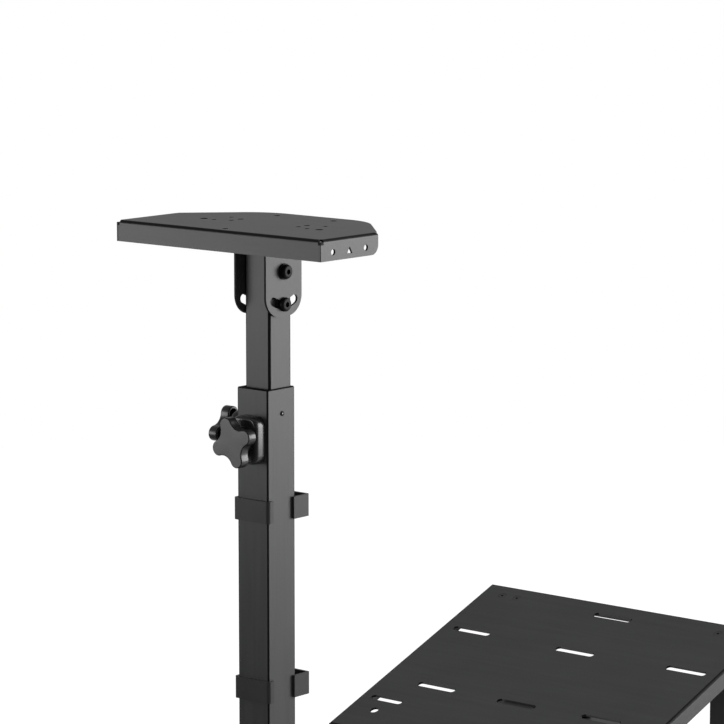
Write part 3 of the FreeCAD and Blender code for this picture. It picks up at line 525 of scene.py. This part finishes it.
def foot_rubber():
    """Dull rubber of the feet, with a coarse skin."""
    material, tree = new_material("foot_rubber")
    cloud = noise(tree, scale=90.0, detail=3.0)
    finish_material(tree, surface(tree, {
        "Base Color": mix_colour(tree, cloud, grey(0.014), grey(0.028)),
        "Roughness": 0.72 + 0.1 * cloud,
        "Normal": bump(tree, noise(tree, scale=700.0, detail=3.0), strength=0.25, distance=0.3 * MM),
    }))
    return material


def make_finishes():
    """A finish for each material slot, and the variants that some pieces wear."""
    plastics = {name: moulded_plastic(name, *levels) for name, levels in PLASTICS.items()}
    return {
        **plastics,
        "black_steel": powder_coat("black_powder_coat"),
        "folded": powder_coat("folded_powder_coat_bend_shade", shade_mask=fold_shade_mask),
        "ears": powder_coat("cut_plate_powder_coat_rim_shade", shade_mask=rim_shade_mask),
        # The pedal plate and its screws wear the coat painted lighter, as painted light
        "pedal_plate": powder_coat("pedal_plate_coat_painted_light_and_shade", LIT_PLATE_SHADE, plate_fold_shade_mask, ALONG_X),
        "deck": powder_coat("deck_powder_coat_painted_shade", STEEL_SHADE, deck_shade_mask, ALONG_X),
        "column": powder_coat("column_powder_coat_mouth_shade", shade_mask=mouth_shade_mask),
        "lit_painted_screw": powder_coat("lit_painted_screw", LIT_SCREW_SHADE),
        "worn_steel": worn_steel(),
        "black_bolt": black_oxide(),
        "foot_rubber": foot_rubber(),
    }


def dress(piece, material):
    """Gives a CAD node or a new piece its material."""
    piece.data.materials.clear()
    piece.data.materials.append(material)


def dress_frame():
    """Gives every CAD node the finish of its slot, or its variant."""
    for part in frame["record"]["subparts"]:
        finish = VARIANTS.get(part["node"], part["material_slot"])
        dress(frame["nodes"][part["node"]], finishes[finish])


def select_only(pieces):
    """Selects some pieces and nothing else, with the first one active."""
    bpy.ops.object.select_all(action="DESELECT")
    for piece in pieces:
        piece.select_set(True)
    bpy.context.view_layer.objects.active = pieces[0]


def add(primitive, **sizes):
    """Adds a primitive with nothing else selected, and brings its place into its vertices."""
    bpy.ops.object.select_all(action="DESELECT")
    primitive(**sizes)
    bpy.ops.object.transform_apply(location=True, rotation=True, scale=True)
    return bpy.context.object


def cube(middle, sizes):
    """A block by its middle and its three sizes."""
    return add(bpy.ops.mesh.primitive_cube_add, size=1.0, location=middle, scale=sizes)


def cylinder(radius, low, high, sides=48):
    """A cylinder on the Z axis between two heights."""
    return add(bpy.ops.mesh.primitive_cylinder_add, vertices=sides, radius=radius, depth=high - low,
               location=(0, 0, (low + high) / 2))


def choose(piece, kind, wanted):
    """Goes to edit mode with only those vertices, edges or faces selected that suit."""
    bpy.ops.object.mode_set(mode="EDIT")
    bpy.ops.mesh.select_mode(type=kind)
    bpy.ops.mesh.select_all(action="DESELECT")
    bpy.ops.object.mode_set(mode="OBJECT")
    mesh = piece.data
    if kind == "VERT":
        for vertex in mesh.vertices:
            vertex.select = wanted(vertex.co)
    elif kind == "EDGE":
        for edge in mesh.edges:
            first, second = [mesh.vertices[index].co for index in edge.vertices]
            edge.select = wanted(first, second)
    else:
        for face in mesh.polygons:
            face.select = wanted(face.center)
    bpy.ops.object.mode_set(mode="EDIT")


def near(value, target):
    return abs(value - target) < 0.01 * MM


def choose_face(piece, height):
    """Goes to edit mode with the flat face at one height selected."""
    choose(piece, "FACE", lambda middle: near(middle.z, height))


def choose_upright(piece, length):
    """Goes to edit mode with the edges selected that rise by more than a length."""
    choose(piece, "EDGE", lambda a, b: abs(a.z - b.z) > length)


def round_chosen(size, segments):
    """Rounds the selected edges and goes back to object mode."""
    bpy.ops.mesh.bevel(offset=size, segments=segments, affect="EDGES")
    bpy.ops.object.mode_set(mode="OBJECT")


def round_rim(piece, height, size, segments):
    """Rounds the edges that lie at one height."""
    choose(piece, "EDGE", lambda a, b: near(a.z, height) and near(b.z, height))
    round_chosen(size, segments)


def cut(piece, cutter, operation="DIFFERENCE"):
    """Cuts a piece with another, or keeps what the two share, and removes the other."""
    modifier = piece.modifiers.new("cut", "BOOLEAN")
    modifier.operation = operation
    modifier.object = cutter
    select_only([piece])
    bpy.ops.object.modifier_apply(modifier=modifier.name)
    bpy.data.objects.remove(cutter)
    return piece


def join(pieces):
    """Makes one object of several."""
    select_only(pieces)
    bpy.ops.object.join()
    return pieces[0]


def settle(piece, matrix):
    """Takes a piece that was built on the Z axis to its place, and leaves its object unturned."""
    select_only([piece])
    piece.matrix_world = matrix
    bpy.ops.object.transform_apply(location=True, rotation=True, scale=True)
    return piece


def pose_matrix(place, along):
    """Takes the origin to a place and +Z to a direction."""
    return Matrix.Translation(place) @ Vector(along).to_track_quat("Z", "Y").to_matrix().to_4x4()


def finish_piece(piece, name, body, material, smooth=35):
    """Names, smooths and dresses a piece, and gives it its body and slot."""
    piece.name = name
    select_only([piece])
    bpy.ops.object.shade_smooth_by_angle(angle=math.radians(smooth))
    dress(piece, material)
    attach(piece, body)
    return piece


def ridged_rod(radius, low, high, pitch, deep, sides):
    """A rod with a ridge at every pitch, for a thread or the ripples of a weld."""
    rod = cylinder(radius, low, high, sides)
    rings = 2 * max(2, round((high - low) / pitch))
    choose_upright(rod, (high - low) / 2)
    bpy.ops.mesh.subdivide(number_cuts=rings - 1)
    step = (high - low) / rings
    choose(rod, "VERT", lambda p: round((p.z - low) / step) % 2 == 0)
    slim = 1 - deep / radius
    bpy.ops.transform.resize(value=(slim, slim, 1.0), center_override=(0, 0, 0))
    bpy.ops.object.mode_set(mode="OBJECT")
    return rod


def polar(radius, angle, height=0.0):
    return Vector((radius * math.cos(angle), radius * math.sin(angle), height))


def turn_round(centre, angle, steps):
    """Spins what is selected about an upright axis."""
    bpy.ops.mesh.spin(steps=steps, angle=angle, center=centre, axis=(0, 0, 1))


def extrude_up(rise):
    bpy.ops.mesh.extrude_region_move(TRANSFORM_OT_translate={"value": (0, 0, rise)})


def star_solid(turn, low, high):
    """The four-lobed star: one vertex spun round every lobe and hollow, filled and raised."""
    half = math.pi / STAR_LOBES
    reach = STAR_LOBE + STAR_VALLEY
    across = STAR_PITCH * math.sin(half)
    hollow = STAR_PITCH * math.cos(half) + math.sqrt(reach ** 2 - across ** 2)
    lobe_half = math.atan2(hollow * math.sin(half), hollow * math.cos(half) - STAR_PITCH)
    star = add(bpy.ops.mesh.primitive_circle_add, vertices=3, radius=MM)
    start = polar(STAR_PITCH, turn, low) + polar(STAR_LOBE, turn - lobe_half)
    bpy.ops.object.mode_set(mode="EDIT")
    bpy.ops.mesh.select_mode(type="VERT")
    bpy.ops.mesh.select_all(action="SELECT")
    bpy.ops.mesh.merge(type="CENTER")
    bpy.ops.transform.translate(value=start)
    for lobe in range(STAR_LOBES):
        angle = turn + 2 * half * lobe
        turn_round(polar(STAR_PITCH, angle, low), -2 * lobe_half, steps=22)
        turn_round(polar(hollow, angle + half, low), 2 * (lobe_half - half), steps=12)
    bpy.ops.mesh.select_all(action="SELECT")
    bpy.ops.mesh.remove_doubles(threshold=0.02 * MM)
    bpy.ops.mesh.edge_face_add()
    extrude_up(high - low)
    bpy.ops.mesh.select_all(action="SELECT")
    bpy.ops.mesh.normals_make_consistent(inside=False)
    bpy.ops.object.mode_set(mode="OBJECT")
    for height in (low, high):
        round_rim(star, height, STAR_EDGE, segments=4)
    choose_face(star, high)
    bpy.ops.mesh.inset(thickness=FACE_RING)
    bpy.ops.mesh.poke(offset=STAR_CROWN, center_mode="MEDIAN")
    choose_face(star, low)
    bpy.ops.mesh.inset(thickness=STAR_WALL - STAR_EDGE)
    extrude_up(STAR_HOLLOW)
    bpy.ops.object.mode_set(mode="OBJECT")
    return star


def star_knob(name, node, matrix, turn, axis, collar_thick, outside, inside):
    """A star knob with its hub and clamp screw, built along +Z from the tube's face."""
    back = outside - STAR_THICK
    seat = collar_thick + SEAT_GAP
    star = star_solid(turn, back, outside - STAR_CROWN)
    hub = cylinder(HUB_RADIUS, seat, back + STAR_HOLLOW + HUB_SUNK, sides=64)
    round_rim(hub, seat, HUB_EDGE, segments=3)
    screw = ridged_rod(SCREW_RADIUS, -inside, back, THREAD_PITCH, THREAD_DEEP, THREAD_SIDES)
    knob = settle(join([star, hub, screw]), matrix)
    finish_piece(knob, name, node, gloss_plastic(name, axis))
    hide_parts(node)


def collar(name, node, matrix, wide, high, thick):
    """The rounded block behind a knob, bored for the clamp screw."""
    block = cube((0, 0, thick / 2), (wide, high, thick))
    choose_upright(block, thick / 2)
    round_chosen(COLLAR_CORNER, segments=12)
    round_rim(block, thick, COLLAR_EDGE, segments=6)
    round_rim(block, 0.0, COLLAR_BACK_EDGE, segments=2)
    choose_face(block, thick)
    bpy.ops.mesh.inset(thickness=FACE_RING)
    bpy.ops.object.mode_set(mode="OBJECT")
    cut(block, cylinder(SCREW_RADIUS + BORE_PLAY, -CUT_PAST, thick + CUT_PAST, sides=32))
    settle(block, matrix)
    finish_piece(block, name, "base", finishes["knob_plastic"])
    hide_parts(node)


def make_knobs():
    """Both knobs; each is built on the XY plane and taken onto its face of the column."""
    low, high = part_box("front_knob_collar")
    height = (low.z + high.z) / 2
    to_front = Matrix.Translation((COLUMN_X, TUBE_LOW.y, height)) @ Matrix.Rotation(math.pi / 2, 4, "X")
    to_left = (Matrix.Translation((TUBE_LOW.x, COLUMN_Y, height)) @ Matrix.Rotation(-math.pi / 2, 4, "Y")
               @ Matrix.Rotation(math.pi / 2, 4, "Z"))
    wide, tall, thick = high.x - low.x, high.z - low.z, high.y - low.y
    collar("front_clamp_collar", "front_knob_collar", to_front, wide, tall, thick)
    collar("left_clamp_collar", "left_knob_collar", to_left, wide, tall, thick)
    low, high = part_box("front_knob")
    star_knob("front_star_knob", "front_knob", to_front, FRONT_STAR_TURN, 1, thick,
              TUBE_LOW.y - low.y, high.y - TUBE_LOW.y)
    low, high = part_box("left_knob")
    star_knob("left_star_knob", "left_knob", to_left, LEFT_STAR_TURN, 0, thick,
              TUBE_LOW.x - low.x, high.x - TUBE_LOW.x)


def corner_radius(flats):
    """The radius to a hexagon's corners, by its size across flats."""
    return flats / 2 / math.cos(math.pi / 6)


def button_bolt(length):
    """An M8 button head on the XY plane with a hexagon socket, its thread running down -Z."""
    head = cylinder(HEAD_RADIUS, 0, HEAD_HIGH, sides=64)
    round_rim(head, HEAD_HIGH, HEAD_ROUND, segments=8)
    round_rim(head, 0.0, HEAD_SEAT_EDGE, segments=2)
    cut(head, cylinder(corner_radius(SOCKET_FLATS), HEAD_HIGH - SOCKET_DEEP, HEAD_HIGH + CUT_PAST, sides=6))
    shank = ridged_rod(BOLT_RADIUS, -length, THREAD_SUNK, THREAD_PITCH, THREAD_DEEP, THREAD_SIDES)
    return join([head, shank])


def clusters(node, spread):
    """The separate solids of a node that lie well apart in plan: the lowest and highest corner of each."""
    found = []
    for vertex in frame["nodes"][node].data.vertices:
        for low, high in found:
            middle = (low + high) / 2
            if math.hypot(vertex.co.x - middle.x, vertex.co.y - middle.y) < spread:
                low[:] = map(min, low, vertex.co)
                high[:] = map(max, high, vertex.co)
                break
        else:
            found.append((vertex.co.copy(), vertex.co.copy()))
    return found


def make_bolts():
    """Rounded heads and threads for the M8 bolts: three across, ten upright."""
    for node, body in (("pivot_bolt", "mast"), ("lock_bolt", "mast"), ("saddle_bolt", "base")):
        low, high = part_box(node)
        seat = Vector((high.x - HEAD_HIGH, (low.y + high.y) / 2, (low.z + high.z) / 2))
        bolt = settle(button_bolt(seat.x - low.x), pose_matrix(seat, (1, 0, 0)))
        finish_piece(bolt, node + "_m8", body, finishes["black_bolt"])
        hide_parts(node)
    for node in ("column_foot_bolts", "rear_joint_bolts", "front_joint_bolts"):
        bolts = []
        for low, high in clusters(node, 2 * HEAD_RADIUS):
            seat = Vector(((low.x + high.x) / 2, (low.y + high.y) / 2, high.z - HEAD_HIGH))
            bolts.append(settle(button_bolt(seat.z - low.z), pose_matrix(seat, (0, 0, 1))))
        joined = finish_piece(join(bolts), node + "_m8", "base", finishes["black_bolt"])
        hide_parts(node)


def make_nuts():
    """Hexagon nuts whose corners are turned off round both faces."""
    for node, body in (("pivot_nut", "mast"), ("saddle_nut", "base")):
        low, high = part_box(node)
        thick = high.x - low.x
        nut = cylinder(corner_radius(NUT_FLATS), 0, thick, sides=6)
        blank = cylinder(corner_radius(NUT_FLATS) + NUT_BLANK, 0, thick, sides=64)
        for height in (0, thick):
            round_rim(blank, height, NUT_EDGE, segments=3)
        cut(nut, blank, "INTERSECT")
        cut(nut, cylinder(BOLT_RADIUS + NUT_PLAY, -CUT_PAST, thick + CUT_PAST, sides=32))
        centre = Vector((low.x, (low.y + high.y) / 2, (low.z + high.z) / 2))
        flats_up = high.z - low.z < high.y - low.y
        turn = Matrix.Rotation(0.0 if flats_up else math.pi / 6, 4, "Z")
        settle(nut, pose_matrix(centre, (1, 0, 0)) @ turn)
        finish_piece(nut, node + "_m8", body, finishes["black_bolt"])
        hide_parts(node)


def make_mouth_bush():
    """The thin nylon bush that lines the column's mouth, its lip lying on the tube's rim; a real bush,
    coloured darker and duller than nylon as painted shade in the mouth.
    """
    mast_low, mast_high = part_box("inner_tube")
    wide = TUBE_HIGH.x - TUBE_LOW.x - 2 * LIP_INSET
    inside = mast_high.x - mast_low.x + 2 * BUSH_PLAY
    middle = (COLUMN_X, COLUMN_Y, TUBE_TOP + LIP_HIGH / 2)
    lip = cube(middle, (wide, wide, LIP_HIGH))
    choose_upright(lip, LIP_HIGH / 2)
    round_chosen(LIP_CORNER, segments=5)
    round_rim(lip, TUBE_TOP + LIP_HIGH, LIP_EDGE, segments=3)
    opening = cube(middle, (inside, inside, 4 * LIP_HIGH))
    choose_upright(opening, LIP_HIGH)
    round_chosen(BUSH_CORNER, segments=6)
    finish_piece(cut(lip, opening), "column_mouth_bush", "base", finishes["bush_nylon"])


def make_rivet():
    """The blind rivet below the tube's mouth: a domed rim round the broken end of its pin."""
    low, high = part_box("tube_rivet")
    radius = (high.z - low.z) / 2
    thick = high.x - TUBE_HIGH.x
    floor = RIVET_FLOOR * thick
    rim = cylinder(radius, 0, thick)
    round_rim(rim, thick, RIVET_ROUND * thick, segments=4)
    choose_face(rim, thick)
    bpy.ops.mesh.inset(thickness=RIVET_RING * radius)
    extrude_up(-RIVET_RECESS * thick)
    bpy.ops.object.mode_set(mode="OBJECT")
    shank = cylinder(RIVET_SHANK * radius, low.x - TUBE_HIGH.x, floor, sides=24)
    place = pose_matrix(Vector((TUBE_HIGH.x, (low.y + high.y) / 2, (low.z + high.z) / 2)), (1, 0, 0))
    rivet = settle(join([rim, shank]), place)
    finish_piece(rivet, "column_rivet", "base", finishes["black_bolt"])
    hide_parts("tube_rivet")
    pin = cylinder(PIN_WIDE * radius, floor, PIN_HIGH * thick, sides=24)
    round_rim(pin, PIN_HIGH * thick, PIN_ROUND * thick, segments=3)
    finish_piece(settle(pin, place), "rivet_pin", "base", finishes["worn_steel"])


def bead(start, end):
    """A rippled weld bead between two points."""
    start, end = Vector(start), Vector(end)
    length = (end - start).length
    seam = ridged_rod(BEAD_RADIUS, 0.0, length, BEAD_RIPPLE, BEAD_DEEP, sides=14)
    for height in (0.0, length):
        round_rim(seam, height, BEAD_END, segments=2)
    return settle(seam, pose_matrix(start, end - start))


def foot_box(node):
    """The corners of the outline that a node stands on."""
    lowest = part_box(node)[0].z
    foot = [vertex.co for vertex in frame["nodes"][node].data.vertices if vertex.co.z < lowest + MM]
    low = Vector([min(spot[axis] for spot in foot) for axis in range(3)])
    high = Vector([max(spot[axis] for spot in foot) for axis in range(3)])
    return low, high


def beads_round(node):
    """Beads round the foot of a square tube, clear of its corners."""
    low, high = foot_box(node)
    corners = [(low.x, low.y), (high.x, low.y), (high.x, high.y), (low.x, high.y)]
    beads = []
    for index, corner in enumerate(corners):
        first = Vector((*corner, low.z))
        last = Vector((*corners[(index + 1) % 4], low.z))
        inset = (last - first).normalized() * BEAD_INSET
        beads.append(bead(first + inset, last - inset))
    return beads


def gusset_beads():
    """Beads on both sides of each gusset, along the foot plate and up the column."""
    beads = []
    for low, high in clusters("column_gussets", COLUMN_REACH):
        inner, outer = (high.y, low.y) if low.y < TUBE_LOW.y - MM else (low.y, high.y)
        inward = BEAD_INSET if outer > inner else -BEAD_INSET
        for x in (low.x, high.x):
            corner = Vector((x, inner, low.z))
            beads.append(bead(corner + Vector((0, inward, 0)), Vector((x, outer - inward, low.z))))
            beads.append(bead(corner + Vector((0, 0, BEAD_INSET)), Vector((x, inner, high.z - BEAD_INSET))))
    return beads


def make_welds():
    """One piece of all the beads: round the column, the uprights and the gussets."""
    beads = beads_round("outer_tube") + gusset_beads()
    for node in ("left_upright", "right_upright"):
        beads += beads_round(node)
    finish_piece(join(beads), "frame_welds", "base", finishes["black_steel"], BEAD_SMOOTH)


def make_camera():
    """The camera at the photograph's place and angle."""
    data = bpy.data.cameras.new("photo_camera")
    data.sensor_width = CAMERA_SENSOR
    data.lens = CAMERA_LENS
    data.clip_end = CAMERA_SIGHT
    camera = bpy.data.objects.new("photo_camera", data)
    camera.location = Vector((COLUMN_X, COLUMN_Y, TUBE_TOP)) + CAMERA_FROM_COLUMN
    camera.rotation_euler = (math.radians(90 - CAMERA_DOWN), 0, math.radians(CAMERA_AZIMUTH))
    bpy.context.scene.collection.objects.link(camera)
    bpy.context.scene.camera = camera


def make_floor():
    """A pale round floor: white for the camera, dimmer in reflections, and it keeps the stand's shadow."""
    floor = add(bpy.ops.mesh.primitive_circle_add, vertices=96, radius=FLOOR_RADIUS, fill_type="NGON",
                location=(0, 0, -FLOOR_DROP))
    floor.name = "studio_floor"
    material, tree = new_material("studio_floor")
    rays = tree.node("ShaderNodeLightPath")
    seen = rays.out("Is Camera Ray").larger(rays.out("Is Transmission Ray"))
    pale, paler = FLOOR_PAINT
    colour = mix_colour(tree, noise(tree, scale=3.0), grey(pale), grey(paler))
    paint = tree.node("ShaderNodeBsdfDiffuse", {}, {"Color": colour}).out("BSDF")
    depth = parts(tree, tree.node("ShaderNodeTexCoord").out("Object"))[1]
    reach = {"Value": depth, "From Min": FLOOR_NEAR_Y, "From Max": FLOOR_FAR_Y}
    far = tree.node("ShaderNodeMapRange", {}, reach).out("Result")
    dim = emission(tree, mix_colour(tree, far, grey(FLOOR_NEAR_LEVEL), grey(FLOOR_FAR_LEVEL)))
    lifted = mix_shader(tree, FLOOR_SEEN * seen, paint, emission(tree, grey(1.0), FLOOR_WHITE))
    finish_material(tree, mix_shader(tree, FLOOR_MIRRORED * rays.out("Is Glossy Ray"), lifted, dim))
    floor.data.materials.append(material)


def make_world():
    """White to the camera; in reflections a grey room, brightest at the horizon, dark behind the camera."""
    world = bpy.data.worlds.new("studio")
    bpy.context.scene.world = world
    tree = Tree(world)
    rays = tree.node("ShaderNodeLightPath")
    direction = tree.node("ShaderNodeTexCoord").out("Generated")
    azimuth = math.radians(DARK_AZIMUTH)
    toward = tree.node("ShaderNodeVectorMath", {"operation": "DOT_PRODUCT"},
                       {0: direction, 1: (math.sin(azimuth), -math.cos(azimuth), 0.0)}).out("Value")
    behind = smooth_step(tree, toward, *DARK_EDGES, low=1.0, high=DARK_LEVEL)
    height = parts(tree, direction)[2]
    stops = [(place, grey(level)) for place, level in ROOM_BY_HEIGHT]
    room = tree.node("ShaderNodeValToRGB", {"stops": stops}, {"Fac": 0.5 + 0.5 * height}).out("Color")
    dimmed = tree.node("ShaderNodeMix", {"data_type": "RGBA", "blend_type": "MULTIPLY"},
                       {0: 1.0, 6: room, 7: behind}).out(2)
    soft = mix_colour(tree, rays.out("Is Glossy Ray"), grey(ROOM_SOFT), dimmed)
    camera = rays.out("Is Camera Ray").larger(rays.out("Is Transmission Ray"))
    shown = mix_colour(tree, camera, soft, grey(1.0))
    background = tree.node("ShaderNodeBackground", {}, {"Color": shown, "Strength": 1.0})
    tree.node("ShaderNodeOutputWorld", {}, {"Surface": background.out("Background")})


def softbox(name, place, aim, width, height, watts):
    """A rectangular lamp that shines from a place towards a point."""
    data = bpy.data.lights.new(name, "AREA")
    data.shape = "RECTANGLE"
    data.size = width
    data.size_y = height
    data.energy = watts
    lamp = bpy.data.objects.new(name, data)
    lamp.location = place
    lamp.rotation_euler = (Vector(aim) - Vector(place)).to_track_quat("-Z", "Y").to_euler()
    lamp.visible_camera = False
    bpy.context.scene.collection.objects.link(lamp)


bpy.context.scene.view_settings.view_transform = "Standard"
finishes = make_finishes()
dress_frame()
make_knobs()
make_bolts()
make_nuts()
make_mouth_bush()
make_rivet()
make_welds()
make_camera()
make_world()
make_floor()
for lamp in LAMPS:
    softbox(*lamp)
